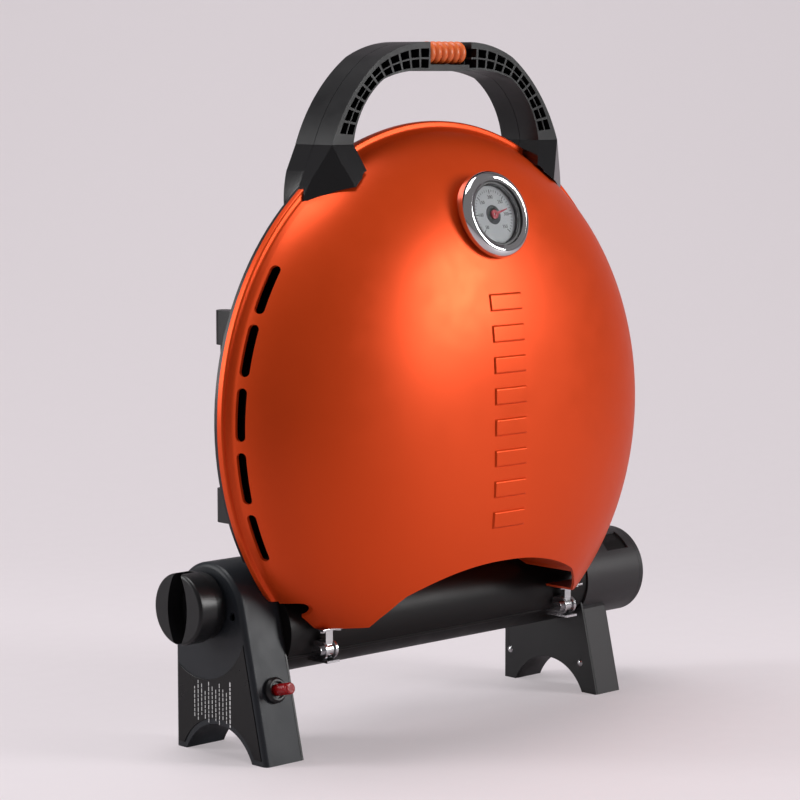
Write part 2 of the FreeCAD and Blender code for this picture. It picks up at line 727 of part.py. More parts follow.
def make_regulator():
    body = place(turned("regulator", [
        (0, 0),
        (34, 0),
        (34, 52),
        (30, 56),
        (30, 68),
        (12, 68),
        (12, 62),
        (0, 62),
    ]), regulator_x, tube_y, tube_z, turn=towards(X_AXIS))
    return body


def make_valve():
    low = -left_outer_x + housing_wall + 0.2
    body = rod("valve_barrel", valve_radius, valve_end_x - low, (low, knob_y, knob_z), X_AXIS)
    bore = rod("valve_bore", spindle_radius + play, 18, (low - 1, knob_y, knob_z), X_AXIS)
    return cut("gas_valve", body, [bore])


# ---------------------------------------------------------------- knob and igniter

def make_knob_lens():
    """Cutter for the hollow: two arcs that meet at the top and the bottom of the knob."""
    tip = knob_radius + 5
    bow = (lens_half * lens_half + tip * tip) / (2 * lens_half)
    body = new_body("knob_lens")
    outline = [(0, -tip, bow), (0, tip, bow)]
    pad(body, "YZ_Plane", -left_outer_x - knob_length - knob_travel - 1, lens_depth, outlines=[outline])
    return place(body, 0, knob_y, knob_z)


def knob_piece():
    blank = turned("knob_blank", [
        (spindle_radius + 0.01, 0),
        (knob_radius - 2, 0),
        (knob_radius - 1.5, 9),
        (knob_radius, 10),
        (knob_radius, knob_length - 3),
        (knob_radius - 2.5, knob_length, 3),
        (spindle_radius + 0.01, knob_length),
    ])
    place(blank, -left_outer_x - knob_travel - 0.3, knob_y, knob_z, turn=towards(LEFTWARD))
    nose_at = (-left_outer_x - knob_travel - 12, knob_y, knob_z)
    nose = rod("knob_floor", spindle_radius + 0.01, 8, nose_at, X_AXIS)
    return cut("control_knob", fuse("knob_solid", [blank, nose]), [make_knob_lens()])


def spindle_piece():
    end = -left_outer_x - knob_travel - 3.9
    return rod("valve_spindle", spindle_radius, 18, (end, knob_y, knob_z), X_AXIS)


def on_front_face(outward):
    """A point on the left leg's leaning front face, moved outward along the face's normal."""
    along_y = leg_front_y + igniter_height * sine(leg_lean) - as_size(outward) * cosine(leg_lean)
    along_z = igniter_height * cosine(leg_lean) + as_size(outward) * sine(leg_lean)
    return (igniter_x, along_y, along_z)


def face_turned(name, outward, outline):
    return place(turned(name, outline), *on_front_face(outward), turn=towards(igniter_direction))


def make_igniter():
    barrel = face_turned("igniter_barrel", -24, [
        (0, 0),
        (igniter_radius, 0),
        (igniter_radius, 27),
        (button_radius + play, 27),
        (button_radius + play, 12),
        (0, 12),
    ])
    nut = face_turned("igniter_nut", 0.1, [
        (igniter_radius + 0.05, 0),
        (11, 0),
        (11, 3),
        (9, 5.5),
        (igniter_radius + 0.05, 5.5),
    ])
    ribs = [(0, 0), (button_radius, 0), (button_radius, 16)]
    groove = button_radius - 0.5
    for number in range(4):
        height = 16 + number * 2.6
        ribs += [(groove, height + 0.5), (groove, height + 1.3), (button_radius, height + 1.8)]
    ribs += [(button_radius, 27.5), (button_radius - 1.5, 29, 1.5), (0, 29)]
    button = face_turned("igniter_button", -24 + 12 + button_travel + 0.2, ribs)
    return barrel, nut, button


# ---------------------------------------------------------------- hinges

def make_bracket(name, side):
    middle = side * hinge_x
    gap = arm_width / 2 + 0.4
    wide = gap + ear_thickness
    ears = rod(name + "_ears", 8, 2 * wide, (middle - wide, hinge_y, hinge_z), X_AXIS)
    block = box(name + "_block", (middle - wide, hinge_y, hinge_z - 8),
                (middle + wide, tube_y, hinge_z + 8))
    lip = box(name + "_lip", (middle - wide, hinge_y - 9, hinge_z - 10),
              (middle + wide, tube_y, hinge_z - 8))
    slot = box(name + "_slot", (middle - gap, hinge_y - 20, hinge_z - 7.9),
               (middle + gap, hinge_y + 6.7, hinge_z + 20))
    tube = rod(name + "_seat", tube_radius + 0.02, 60, (middle - 30, tube_y, tube_z), X_AXIS)
    bore = rod(name + "_bore", pin_radius, 60, (middle - 30, hinge_y, hinge_z), X_AXIS)
    return cut(name, fuse(name + "_solid", [ears, block, lip]), [slot, tube, bore])


def make_arm(name, side):
    middle = side * hinge_x
    half = arm_width / 2
    eye = rod(name + "_eye", 6.2, arm_width, (middle - half, hinge_y, hinge_z), X_AXIS)
    strap = box(name + "_strap", (middle - half, hinge_y - 4, hinge_z),
                (middle + half, hinge_y + 2, lug_bottom_z - 1.5))
    foot = box(name + "_foot", (middle - foot_half, hinge_y - 10.5, lug_bottom_z - 2),
               (middle + foot_half, hinge_y + 1, lug_bottom_z - 0.02))
    bore = rod(name + "_bore", pin_radius + play, 60, (middle - 30, hinge_y, hinge_z), X_AXIS)
    holes = [rod(name + "_hole", 1.6, 9, (middle + step, hinge_y - 5, lug_bottom_z - 6))
             for step in (-foot_screw_step, foot_screw_step)]
    return cut(name, fuse(name + "_solid", [eye, strap, foot]), [bore] + holes)


def make_hinge_screws():
    screws = []
    for side in (-1, 1):
        for step in (-foot_screw_step, foot_screw_step):
            spot = (side * hinge_x + step, hinge_y - 5, lug_bottom_z - 3.6)
            head = rod("hinge_screw_head", 2.8, 1.5, spot)
            shank = rod("hinge_screw_shank", 1.5, 3.3, spot)
            screws.append(fuse("hinge_screw", [head, shank]))
    return fuse("hinge_screws", screws)


def make_pins():
    pins = []
    wide = arm_width / 2 + 0.4 + ear_thickness
    for side in (-1, 1):
        start = side * hinge_x - wide
        shank = rod("pin_shank", pin_radius, 2 * wide + 3, (start, hinge_y, hinge_z), X_AXIS)
        head = rod("pin_head", 4.6, 3, (start - 3, hinge_y, hinge_z), X_AXIS)
        collar = rod("pin_collar", 4, 2, (start + 2 * wide, hinge_y, hinge_z), X_AXIS)
        pins.append(fuse("hinge_pin", [shank, head, collar]))
    return fuse("hinge_pins", pins)


# ---------------------------------------------------------------- handle

def grip_edges():
    """Half outlines of the grip from the socket joint to the middle.

    Each corner is (x, z, radius of the arc arriving there).
    """
    joint = handle_joint_z
    top = handle_top_z
    outer = [(137, joint), (79, top - 13, 150), (22, top, 120)]
    inner = [(112.5, joint), (77, joint + 54.5, 77), (24, top - 25, 123)]
    return outer, inner


def mirrored(edge, turn):
    """The same half outline on the other side, walked backwards.

    turn is -1 where the arcs bend to the right.
    """
    corners = [(-edge[-1][0], edge[-1][1])]
    for number in range(len(edge) - 1, 0, -1):
        corners.append((-edge[number - 1][0], edge[number - 1][1], turn * edge[number][2]))
    return corners


def grip_outline():
    outer, inner = grip_edges()
    under = [(-inner[0][0], inner[0][1])] + [(-corner[0], corner[1], -corner[2]) for corner in inner[1:]]
    back = [(-corner[0],) + corner[1:] for corner in mirrored(inner, -1)]
    corners = outer + mirrored(outer, 1) + under + back
    return [tuple(as_size(value) for value in corner) for corner in corners]


def along(edge, share):
    """Point at a share of the way along a half outline."""
    points = [Vector(float(corner[0]), float(corner[1]), 0) for corner in edge]
    arcs = [arc_between(points[number], points[number + 1], edge[number + 1][2])
            for number in range(len(edge) - 1)]
    rest = share * sum(arc.length() for arc in arcs)
    for arc in arcs:
        if rest <= arc.length() or arc is arcs[-1]:
            first, last = arc.FirstParameter, arc.LastParameter
            spot = arc.value(first + (last - first) * min(rest / arc.length(), 1))
            return Vector(spot.x, 0, spot.y)
        rest -= arc.length()


def grip_pockets():
    """Two rows of small pockets in the front face of the grip, on each side of the slider."""
    outer, inner = grip_edges()
    cells = 11
    depth = 9
    front = float(parting_y - handle_half)
    pockets = []
    for low, high in ((0.10, 0.40), (0.47, 0.77)):
        for number in range(cells):
            shares = [(number + 0.10) / cells * 0.94 + 0.06, (number + 0.90) / cells * 0.94 + 0.06]
            corners = []
            for share, level in ((shares[0], low), (shares[0], high), (shares[1], high), (shares[1], low)):
                inside = along(inner, share)
                outside = along(outer, share)
                spot = inside + (outside - inside) * level
                corners.append(Vector(spot.x, front - 1, spot.z))
            cell = Part.Face(Part.makePolygon(corners + corners[:1])).extrude(Vector(0, depth + 1, 0))
            mirror = cell.mirror(Vector(0, 0, 0), X_AXIS)
            pockets += [cell, mirror]
    return fixed_shape("grip_pockets", Part.makeCompound(pockets))


def make_grip(name, near_y):
    return prism(name + "_bar", "XZ_Plane", -(near_y + handle_half), handle_half, grip_outline())


def make_lid_grip():
    bar = make_grip("lid_grip", parting_y - handle_half)
    half = slider_length / 2
    room = box("slider_room", (-half - 0.3, parting_y - handle_half - 1, handle_top_z - slider_drop - 10.3),
               (half + slider_travel + 0.3, parting_y - 3, handle_top_z + 5))
    return cut("lid_handle", bar, [grip_pockets(), room])


def make_base_grip():
    bar = make_grip("base_grip", parting_y + handle_gap)
    dimple = rod("latch_dimple", 4, 4, (0, parting_y + handle_gap - 1, handle_top_z - 9), Y_AXIS)
    return cut("base_handle", bar, [dimple])


def make_slider():
    ribs = 6
    pitch = slider_length / ribs
    outline = [(0, 0), (rib_radius, 0)]
    for number in range(ribs):
        outline.append((rib_radius, pitch * (number + 1), 4.2))
    outline.append((0, slider_length))
    return place(turned("slider_barrel", outline), -(slider_length / 2), parting_y - slider_reach,
                 handle_top_z - slider_drop, turn=towards(X_AXIS))


def socket_outline(side, lid_side):
    """Front view of a socket: it widens downward and ends in a point beside the flange."""
    joint = handle_joint_z
    corners = [(137, joint), (112.5, joint), (104, joint - 22), (111.5, joint - 31.5, 9)]
    if lid_side:
        corners += [(130, joint - 41), (155, joint - 53), (158, joint - 50, 2.2), (148, joint - 22, -90)]
    else:
        corners += [(140, joint - 50), (150.5, joint - 52), (147.5, joint - 22, -90)]
    if side > 0:
        return [(corner[0],) + corner[1:2] + tuple(-radius for radius in corner[2:]) for corner in corners]
    return [(-corner[0],) + corner[1:] for corner in corners]


def make_socket(name, side, lid_side, clam):
    """Glossy shoe that joins the grip to the clamshell; the lid's one also has a sloping face and flank."""
    outline = [tuple(as_size(value) for value in corner) for corner in socket_outline(side, lid_side)]
    if not lid_side:
        near = parting_y + handle_gap
        body = prism(name + "_block", "XZ_Plane", -(near + handle_half), handle_half, outline)
        return cut(name, body, [clam])
    front = parting_y - handle_half
    body = prism(name + "_block", "XZ_Plane", -parting_y, handle_half + 18, outline)
    slope = place(add("Part::Box", name + "_slope", Length=100, Width=60, Height=120),
                  side * 126 - 50, front, handle_joint_z, turn=FreeCAD.Rotation(X_AXIS, 162))
    flank = add("Part::Box", name + "_flank", Length=120, Width=60, Height=120)
    turn = FreeCAD.Rotation(Z_AXIS, -145 * side)
    corner = Vector(side * 137, front.number, handle_joint_z.number - 90) - turn.multVec(Vector(60, 0, 0))
    place(flank, corner.x, corner.y, corner.z, turn=turn)
    return cut(name, body, [clam, slope, flank])


# ---------------------------------------------------------------- thermometer

def gauge_turned(name, outline):
    return place(turned(name, outline), 0, gauge_y, gauge_z, turn=towards(gauge_direction))


def make_gauge(lid_solid):
    inner = gauge_radius - gauge_lip
    bezel = cut("gauge_bezel", gauge_turned("bezel_ring", [
        (inner, 0),
        (gauge_radius, 0),
        (gauge_radius, 6),
        (gauge_radius - 6.5, 12.5, 6.5),
        (inner, 11.5),
    ]), [lid_solid])
    cup = gauge_turned("gauge_housing", [
        (gauge_stem_radius + 0.1, 0.5),
        (inner - 0.1, 0.5),
        (inner - 0.1, 9.5),
        (inner - 2.6, 9.5),
        (inner - 2.6, 3.5),
        (gauge_stem_radius + 0.1, 3.5),
    ])
    dial = gauge_turned("gauge_dial", [(2, 3.6), (inner - 2.8, 3.6), (inner - 2.8, 4.4), (2, 4.4)])
    stem = gauge_turned("gauge_stem", [
        (0, -40), (gauge_stem_radius, -40), (gauge_stem_radius, 3.4), (1, 3.4), (1, 5.6), (0, 5.6)])
    glass = gauge_turned("gauge_glass", [(0, 7.4), (inner - 2.7, 7.4), (inner - 2.7, 8.6), (0, 8.6)])
    hub = gauge_turned("needle_hub", [(1 + play, 4.7), (4, 4.7), (4, 6.3), (1 + play, 6.3)])
    blade = new_body("needle_blade")
    pad(blade, "XY_Plane", 5.2, 0.8, outlines=[[(2, -1.2), (17, -0.4), (17, 0.4), (2, 1.2)]])
    place(blade, 0, gauge_y, gauge_z, turn=towards(gauge_direction) * FreeCAD.Rotation(Z_AXIS, needle_rest))
    return bezel, cup, dial, stem, glass, fuse("gauge_needle", [hub, blade])


# ---------------------------------------------------------------- cooking parts

def make_grate():
    """Cast grate: a round plate with a straight lower edge, cut into bars by long slots."""
    far = grate_y + grate_thickness
    plate = rod("grate_disc", grate_radius, grate_thickness, (0, grate_y, clam_z), Y_AXIS)
    low = bowl_bottom_z + bowl_wall + 6
    trims = [box("grate_trim", (-300, grate_y - 1, -10), (300, far + 1, low))]
    half = grate_slot / 2
    for number in range(-8, 9):
        middle = number * grate_pitch
        reach_from_middle = abs(number) * grate_pitch + half
        reach = root((grate_radius - 12) * (grate_radius - 12) - reach_from_middle * reach_from_middle)
        bottom = max(clam_z - reach, low + 10, key=float)
        trims.append(box("grate_gap", (middle - half, grate_y - 1, bottom),
                         (middle + half, far + 1, clam_z + reach)))
    return cut("cooking_grate", plate, trims)


def make_burner():
    ring = add("Part::Torus", "burner_ring", Radius1=burner_radius, Radius2=burner_tube)
    place(ring, 0, burner_y, clam_z, turn=towards(Y_AXIS))
    inlet = rod("burner_inlet", burner_tube - 1, clam_z - burner_radius - bowl_bottom_z - 8,
                (0, burner_y, bowl_bottom_z + bowl_wall + 0.5))
    return fuse("burner", [ring, inlet])


def make_electrode():
    ceramic = rod("electrode_ceramic", electrode_radius, 10.5,
                  (electrode_x, electrode_y, bowl_bottom_z - 6))
    tip = rod("electrode_tip", 1, 4, (electrode_x, electrode_y, bowl_bottom_z + 4.5))
    return fuse("spark_electrode", [ceramic, tip])


def make_tray(clam):
    """Shallow pan whose rim follows the bowl's back."""
    half = tray_side / 2
    back = parting_y + bowl_depth + 10
    outer = box("tray_outer", (-half, 40, tray_z), (half, back, tray_z + tray_side))
    inner = box("tray_inner", (-half + tray_wall, 39, tray_z + tray_wall),
                (half - tray_wall, back - tray_wall, tray_z + tray_side - tray_wall))
    return cut("drip_tray", outer, [inner, clam])


def make_saddle():
    block = box("saddle_block", (-saddle_half, tube_y - 6, tube_z + 20),
                (saddle_half, pipe_y - pipe_radius - 1, bowl_bottom_z - 0.1))
    seat = rod("saddle_seat", tube_radius + play, 2 * saddle_half + 20,
               (-saddle_half - 10, tube_y, tube_z), X_AXIS)
    return cut("bowl_saddle", block, [seat])


# ---------------------------------------------------------------- folding legs

def make_stand(name, side):
    """U-shaped rod whose two ends turn in knuckles; folded, it points to the middle."""
    pivot = side * stand_x
    tip = side * (stand_x - stand_length)
    clear = knuckle_half + stand_rod + 2
    low = stand_low_z + clear
    high = stand_high_z - clear
    points = [(pivot, stand_y, stand_low_z - knuckle_half), (pivot, stand_y, low), (tip, stand_y, low),
              (tip, stand_y, high), (pivot, stand_y, high), (pivot, stand_y, stand_high_z + knuckle_half)]
    return wire(name, stand_rod, points)


def make_knuckles(name, side, clam):
    """Two rounded blocks on the back of the bowl that hold the ends of a folding leg."""
    pivot = side * stand_x
    radius = knuckle_radius
    blocks = []
    for middle in (stand_low_z, stand_high_z):
        low = middle - knuckle_half
        web = box(name + "_web", (pivot - radius, 15, low),
                  (pivot + radius, stand_y, middle + knuckle_half))
        eye = rod(name + "_eye", radius, 2 * knuckle_half, (pivot, stand_y, low))
        bore = rod(name + "_bore", stand_rod + play, 60, (pivot, stand_y, low - 5))
        blocks.append(cut(name + "_knuckle", fuse(name + "_block", [web, eye]), [bore, clam]))
    return fuse(name, blocks)


def make_stand_foot(name, side):
    tip = side * (stand_x - stand_length)
    sleeve = rod(name + "_sleeve", stand_rod + 2, 40, (tip, stand_y, (stand_low_z + stand_high_z) / 2 - 20))
    bore = rod(name + "_bore", stand_rod, 42, (tip, stand_y, (stand_low_z + stand_high_z) / 2 - 21))
    return cut(name, sleeve, [bore])


# ---------------------------------------------------------------- assembly

lid_shell, lid_solid = make_lid()
base_bowl, bowl_solid = make_bowl()
piece(lid_shell, "lid_shell")
piece(base_bowl, "base_bowl")
piece(make_left_housing(), "left_leg_housing")
piece(make_right_housing(), "right_leg_housing")
piece(make_cover("left_leg_cover", -1), "left_leg_cover")
piece(make_cover("right_leg_cover", 1), "right_leg_cover")
piece(make_leg_screws(), "leg_screws")
piece(make_label(), "label_plate")
piece(make_tube(), "gas_tube")
piece(make_cap(), "cartridge_cap")
piece(make_regulator(), "regulator")
piece(make_valve(), "gas_valve")
hose_y = knob_y - hose_offset
hose_z = knob_z - hose_offset
hose_ends = [(valve_end_x + 0.1, hose_y, hose_z), (regulator_x - 0.1, hose_y, hose_z)]
piece(wire("gas_hose", hose_radius, hose_ends), "gas_hose")
pipe_x = valve_end_x - 10
piece(wire("burner_pipe", pipe_radius, [
    (pipe_x, knob_y + valve_radius + 0.1, knob_z), (pipe_x, pipe_y, knob_z), (0, pipe_y, knob_z),
    (0, pipe_y, bowl_bottom_z + bowl_wall + 0.4),
]), "burner_pipe")
piece(knob_piece(), "control_knob")
piece(spindle_piece(), "valve_spindle")
barrel, nut, button = make_igniter()
piece(barrel, "igniter_barrel")
piece(nut, "igniter_nut")
piece(button, "igniter_button")
cable_start = on_front_face(-24.9)
cable_top = bowl_bottom_z - 12
piece(wire("ignition_cable", cable_radius, [
    cable_start, (igniter_x, cable_y, igniter_height - 2), (igniter_x, cable_y, cable_z),
    (electrode_x, cable_y, cable_z), (electrode_x, cable_y, cable_top),
    (electrode_x, electrode_y, cable_top),
    (electrode_x, electrode_y, bowl_bottom_z - 6.1),
]), "ignition_cable")
for side_name, side_sign in (("left", -1), ("right", 1)):
    piece(make_bracket("hinge_bracket_" + side_name, side_sign), "hinge_bracket_" + side_name)
    piece(make_arm("hinge_arm_" + side_name, side_sign), "hinge_arm_" + side_name)
    piece(make_socket("lid_socket_" + side_name, side_sign, True, lid_solid), "lid_socket_" + side_name)
    piece(make_socket("base_socket_" + side_name, side_sign, False, bowl_solid), "base_socket_" + side_name)
    piece(make_stand("folding_leg_" + side_name, side_sign), "folding_leg_" + side_name)
    piece(make_knuckles("leg_knuckles_" + side_name, side_sign, bowl_solid), "leg_knuckles_" + side_name)
    piece(make_stand_foot("leg_sleeve_" + side_name, side_sign), "leg_sleeve_" + side_name)
piece(make_hinge_screws(), "hinge_screws")
piece(make_pins(), "hinge_pins")
piece(make_lid_grip(), "lid_handle")
piece(make_base_grip(), "base_handle")
piece(make_slider(), "latch_slider")
gauge_parts = make_gauge(lid_solid)
gauge_names = ("gauge_bezel", "gauge_housing", "gauge_dial", "gauge_stem", "gauge_glass", "gauge_needle")
for part, name in zip(gauge_parts, gauge_names):
    piece(part, name)
piece(make_grate(), "cooking_grate")
piece(make_burner(), "burner")
piece(make_electrode(), "spark_electrode")
piece(make_tray(bowl_solid), "drip_tray")
piece(make_saddle(), "bowl_saddle")


# ---------------------------------------------------------------- check and write

def finish():
    doc.recompute()
    faults = []
    for target in doc.Objects:
        if "Invalid" in target.State or "Error" in target.State:
            faults.append(target.Name)
    for target in pieces:
        shape = target.Shape
        if shape.isNull() or not shape.isValid() or not shape.Solids:
            faults.append(target.Label)
    if faults:
        raise RuntimeError("bad shapes: " + ", ".join(faults))
    os.makedirs("parts", exist_ok=True)
    for target in pieces:
        target.Shape.exportStep("parts/%s.step" % target.Label)


finish()
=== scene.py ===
import json
import math

import bmesh
import bpy
from mathutils import Matrix, Vector


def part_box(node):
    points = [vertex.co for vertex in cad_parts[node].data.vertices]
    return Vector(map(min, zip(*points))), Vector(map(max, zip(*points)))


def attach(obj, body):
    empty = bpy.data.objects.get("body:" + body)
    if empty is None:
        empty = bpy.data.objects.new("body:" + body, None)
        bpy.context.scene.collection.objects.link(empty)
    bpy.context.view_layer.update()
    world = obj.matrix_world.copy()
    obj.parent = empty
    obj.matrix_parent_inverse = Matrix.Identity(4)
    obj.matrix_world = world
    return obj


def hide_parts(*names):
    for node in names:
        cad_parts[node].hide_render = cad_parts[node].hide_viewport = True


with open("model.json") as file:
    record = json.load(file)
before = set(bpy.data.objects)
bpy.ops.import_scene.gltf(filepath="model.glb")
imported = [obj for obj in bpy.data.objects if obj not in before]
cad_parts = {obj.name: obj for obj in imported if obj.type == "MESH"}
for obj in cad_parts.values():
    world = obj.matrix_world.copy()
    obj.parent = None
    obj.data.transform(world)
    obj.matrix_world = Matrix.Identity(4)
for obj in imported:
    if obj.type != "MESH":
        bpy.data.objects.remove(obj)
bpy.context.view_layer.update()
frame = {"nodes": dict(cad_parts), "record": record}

# Portable tabletop grill. Blender units are metres.
# X runs along the gas tube, Y points to the back, Z is up.

MM = 0.001


# ---------------------------------------------------------------- places taken from the frame

def low(node):
    return Vector(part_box(node)[0])


def high(node):
    return Vector(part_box(node)[1])


def middle(node):
    return (low(node) + high(node)) / 2


RIM_RADIUS = high("lid_shell").x
PARTING_Y = high("lid_shell").y
CLAM_Z = high("lid_shell").z - RIM_RADIUS
LUG_Z = low("lid_shell").z
LID_RADIUS = RIM_RADIUS - 5.0 * MM
LID_DEPTH = 98.4 * MM
LID_LEAN = 0.19
SIDE_POWER = 2.6
LID_WALL = 2.2 * MM
FLANGE = 7.0 * MM
TUBE = middle("gas_tube")
TUBE_RADIUS = (high("gas_tube").z - low("gas_tube").z) / 2
LEG_INNER_X = low("right_leg_cover").x
LUG_INNER_X = middle("hinge_arm_right").x - 21.7 * MM
ARCH_TOP_Z = LUG_Z + 47 * MM


# ---------------------------------------------------------------- mesh helpers

made_pieces = []


def new_object(name, mesh, body, slot=None):
    piece = bpy.data.objects.new(name, mesh)
    bpy.context.scene.collection.objects.link(piece)
    if body:
        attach(piece, body)
    if slot:
        made_pieces.append((name, slot))
    return piece


def mesh_from(name, points, faces):
    mesh = bpy.data.meshes.new(name)
    mesh.from_pydata([tuple(point) for point in points], [], faces)
    mesh.validate()
    mesh.update()
    return mesh


def face_outward(mesh):
    """Turns every face of a closed mesh outward."""
    repair = bmesh.new()
    repair.from_mesh(mesh)
    bmesh.ops.recalc_face_normals(repair, faces=repair.faces)
    repair.to_mesh(mesh)
    repair.free()


def shifted(faces, start):
    """The same faces for points that begin at another place in the list."""
    return [tuple(index + start for index in face) for face in faces]


def prism_faces(count):
    """Faces of a prism whose points are its near outline and then its far outline."""
    faces = [tuple(range(count)), tuple(reversed(range(count, 2 * count)))]
    for number in range(count):
        following = (number + 1) % count
        faces.append((number, number + count, following + count, following))
    return faces


def smooth(mesh, angle=30):
    for polygon in mesh.polygons:
        polygon.use_smooth = True
    mesh.set_sharp_from_angle(angle=math.radians(angle))


def spun(name, profile, place, segments=240):
    """Closed solid spun about the clamshell's axis.

    The profile holds (radius, depth) from pole to pole, and place(radius, depth, angle) gives the point.
    """
    points = []
    rings = []
    for radius, depth in profile:
        if radius < 1e-6:
            rings.append([len(points)])
            points.append(place(0.0, depth, 0.0))
            continue
        rings.append(list(range(len(points), len(points) + segments)))
        for number in range(segments):
            points.append(place(radius, depth, 2 * math.pi * number / segments))
    faces = []
    for first, second in zip(rings, rings[1:]):
        for number in range(segments):
            following = (number + 1) % segments
            if len(first) == 1:
                faces.append((first[0], second[following], second[number]))
            elif len(second) == 1:
                faces.append((first[number], first[following], second[0]))
            else:
                faces.append((first[number], first[following], second[following], second[number]))
    mesh = mesh_from(name, points, faces)
    face_outward(mesh)
    return mesh


def extruded(name, outline, near_y, far_y):
    """Solid from an (x, z) outline pushed along Y."""
    points = [Vector((x, y, z)) for y in (near_y, far_y) for x, z in outline]
    mesh = mesh_from(name, points, prism_faces(len(outline)))
    face_outward(mesh)
    return mesh


def cylinder(name, radius, start, end, segments=64):
    axis = Vector(end) - Vector(start)
    turn = Vector((0, 0, 1)).rotation_difference(axis)
    build = bmesh.new()
    bmesh.ops.create_cone(build, cap_ends=True, segments=segments, radius1=radius, radius2=radius,
                          depth=axis.length)
    bmesh.ops.transform(build, matrix=turn.to_matrix().to_4x4(), verts=build.verts)
    bmesh.ops.translate(build, vec=(Vector(start) + Vector(end)) / 2, verts=build.verts)
    mesh = bpy.data.meshes.new(name)
    build.to_mesh(mesh)
    build.free()
    return mesh


def boolean(target, mesh, operation):
    """Applies one exact boolean to an object's mesh."""
    tool = bpy.data.objects.new("tool", mesh)
    bpy.context.scene.collection.objects.link(tool)
    modifier = target.modifiers.new("boolean", "BOOLEAN")
    modifier.operation = operation
    modifier.solver = "EXACT"
    modifier.object = tool
    bpy.context.view_layer.update()
    result = bpy.data.meshes.new_from_object(target.evaluated_get(bpy.context.evaluated_depsgraph_get()))
    target.modifiers.remove(modifier)
    old = target.data
    target.data = result
    bpy.data.meshes.remove(old)
    bpy.data.objects.remove(tool)
    bpy.data.meshes.remove(mesh)


def bevel(piece, width, segments=3, angle=35):
    """Rounds an object's edges without touching its mesh."""
    weld = piece.modifiers.new("weld", "WELD")
    weld.merge_threshold = 1e-5
    rounding = piece.modifiers.new("bevel", "BEVEL")
    rounding.width = width
    rounding.segments = segments
    rounding.limit_method = "ANGLE"
    rounding.angle_limit = math.radians(angle)
    rounding.harden_normals = False
    rounding.use_clamp_overlap = True
    shade = piece.modifiers.new("normals", "WEIGHTED_NORMAL")
    shade.keep_sharp = True


# ---------------------------------------------------------------- material helpers

def new_material(name):
    material = bpy.data.materials.new(name)
    material.use_nodes = True
    return material, material.node_tree, material.node_tree.nodes["Principled BSDF"]


def noise(tree, scale, detail=3.0, stretch=(1, 1, 1)):
    place = tree.nodes.new("ShaderNodeTexCoord")
    turn = tree.nodes.new("ShaderNodeMapping")
    turn.inputs["Scale"].default_value = stretch
    texture = tree.nodes.new("ShaderNodeTexNoise")
    texture.inputs["Scale"].default_value = scale
    texture.inputs["Detail"].default_value = detail
    tree.links.new(place.outputs["Object"], turn.inputs["Vector"])
    tree.links.new(turn.outputs["Vector"], texture.inputs["Vector"])
    return texture.outputs["Fac"]


def ranged(tree, value, lowest, highest):
    node = tree.nodes.new("ShaderNodeMapRange")
    node.inputs["From Min"].default_value = 0.3
    node.inputs["From Max"].default_value = 0.7
    node.inputs["To Min"].default_value = lowest
    node.inputs["To Max"].default_value = highest
    tree.links.new(value, node.inputs["Value"])
    return node.outputs["Result"]


def mixed(tree, value, first, second):
    node = tree.nodes.new("ShaderNodeMix")
    node.data_type = "RGBA"
    node.inputs["A"].default_value = (*first, 1)
    node.inputs["B"].default_value = (*second, 1)
    tree.links.new(value, node.inputs["Factor"])
    return node.outputs["Result"]


def bumped(tree, shader, value, strength, distance):
    node = tree.nodes.new("ShaderNodeBump")
    node.inputs["Strength"].default_value = strength
    node.inputs["Distance"].default_value = distance
    tree.links.new(value, node.inputs["Height"])
    tree.links.new(node.outputs["Normal"], shader.inputs["Normal"])


def surface(name, colour, other, rough, metallic=0.0, grain=900, grain_strength=0.1, coat=0.0,
            stretch=(1, 1, 1), patch=14, grain_height=0.0002, shine=0.5):
    """Shared recipe: two close colours mixed by a broad noise, uneven roughness and a fine grain."""
    material, tree, shader = new_material(name)
    broad = noise(tree, patch, 4.0)
    tree.links.new(mixed(tree, broad, colour, other), shader.inputs["Base Color"])
    uneven = ranged(tree, noise(tree, 45, 5.0, stretch), rough[0], rough[1])
    tree.links.new(uneven, shader.inputs["Roughness"])
    shader.inputs["Metallic"].default_value = metallic
    shader.inputs["Specular IOR Level"].default_value = shine
    shader.inputs["Coat Weight"].default_value = coat
    shader.inputs["Coat Roughness"].default_value = 0.12
    bumped(tree, shader, noise(tree, grain, 2.0, stretch), grain_strength, grain_height)
    return material


def lid_paint():
    """Satin orange heat-resistant paint with a very fine orange-peel."""
    return surface("orange_paint", (0.86, 0.080, 0.010), (0.81, 0.071, 0.008), (0.34, 0.40),
                   metallic=0.45, grain=700, grain_strength=0.08, patch=6, shine=0.25)


def glass():
    """Clear glass with a trace of unevenness."""
    material, tree, shader = new_material("clear_glass")
    shader.inputs["Transmission Weight"].default_value = 1.0
    shader.inputs["IOR"].default_value = 1.45
    tree.links.new(ranged(tree, noise(tree, 30), 0.01, 0.03), shader.inputs["Roughness"])
    shader.inputs["Base Color"].default_value = (0.96, 0.98, 0.99, 1)
    return material


def red_button():
    """Translucent red plastic."""
    material = surface("red_button", (0.55, 0.006, 0.012), (0.45, 0.004, 0.008), (0.12, 0.2),
                       grain=300, grain_strength=0.03)
    shader = material.node_tree.nodes["Principled BSDF"]
    shader.inputs["Transmission Weight"].default_value = 0.35
    shader.inputs["Subsurface Weight"].default_value = 0.2
    shader.inputs["Subsurface Radius"].default_value = (0.004, 0.0005, 0.0005)
    return material


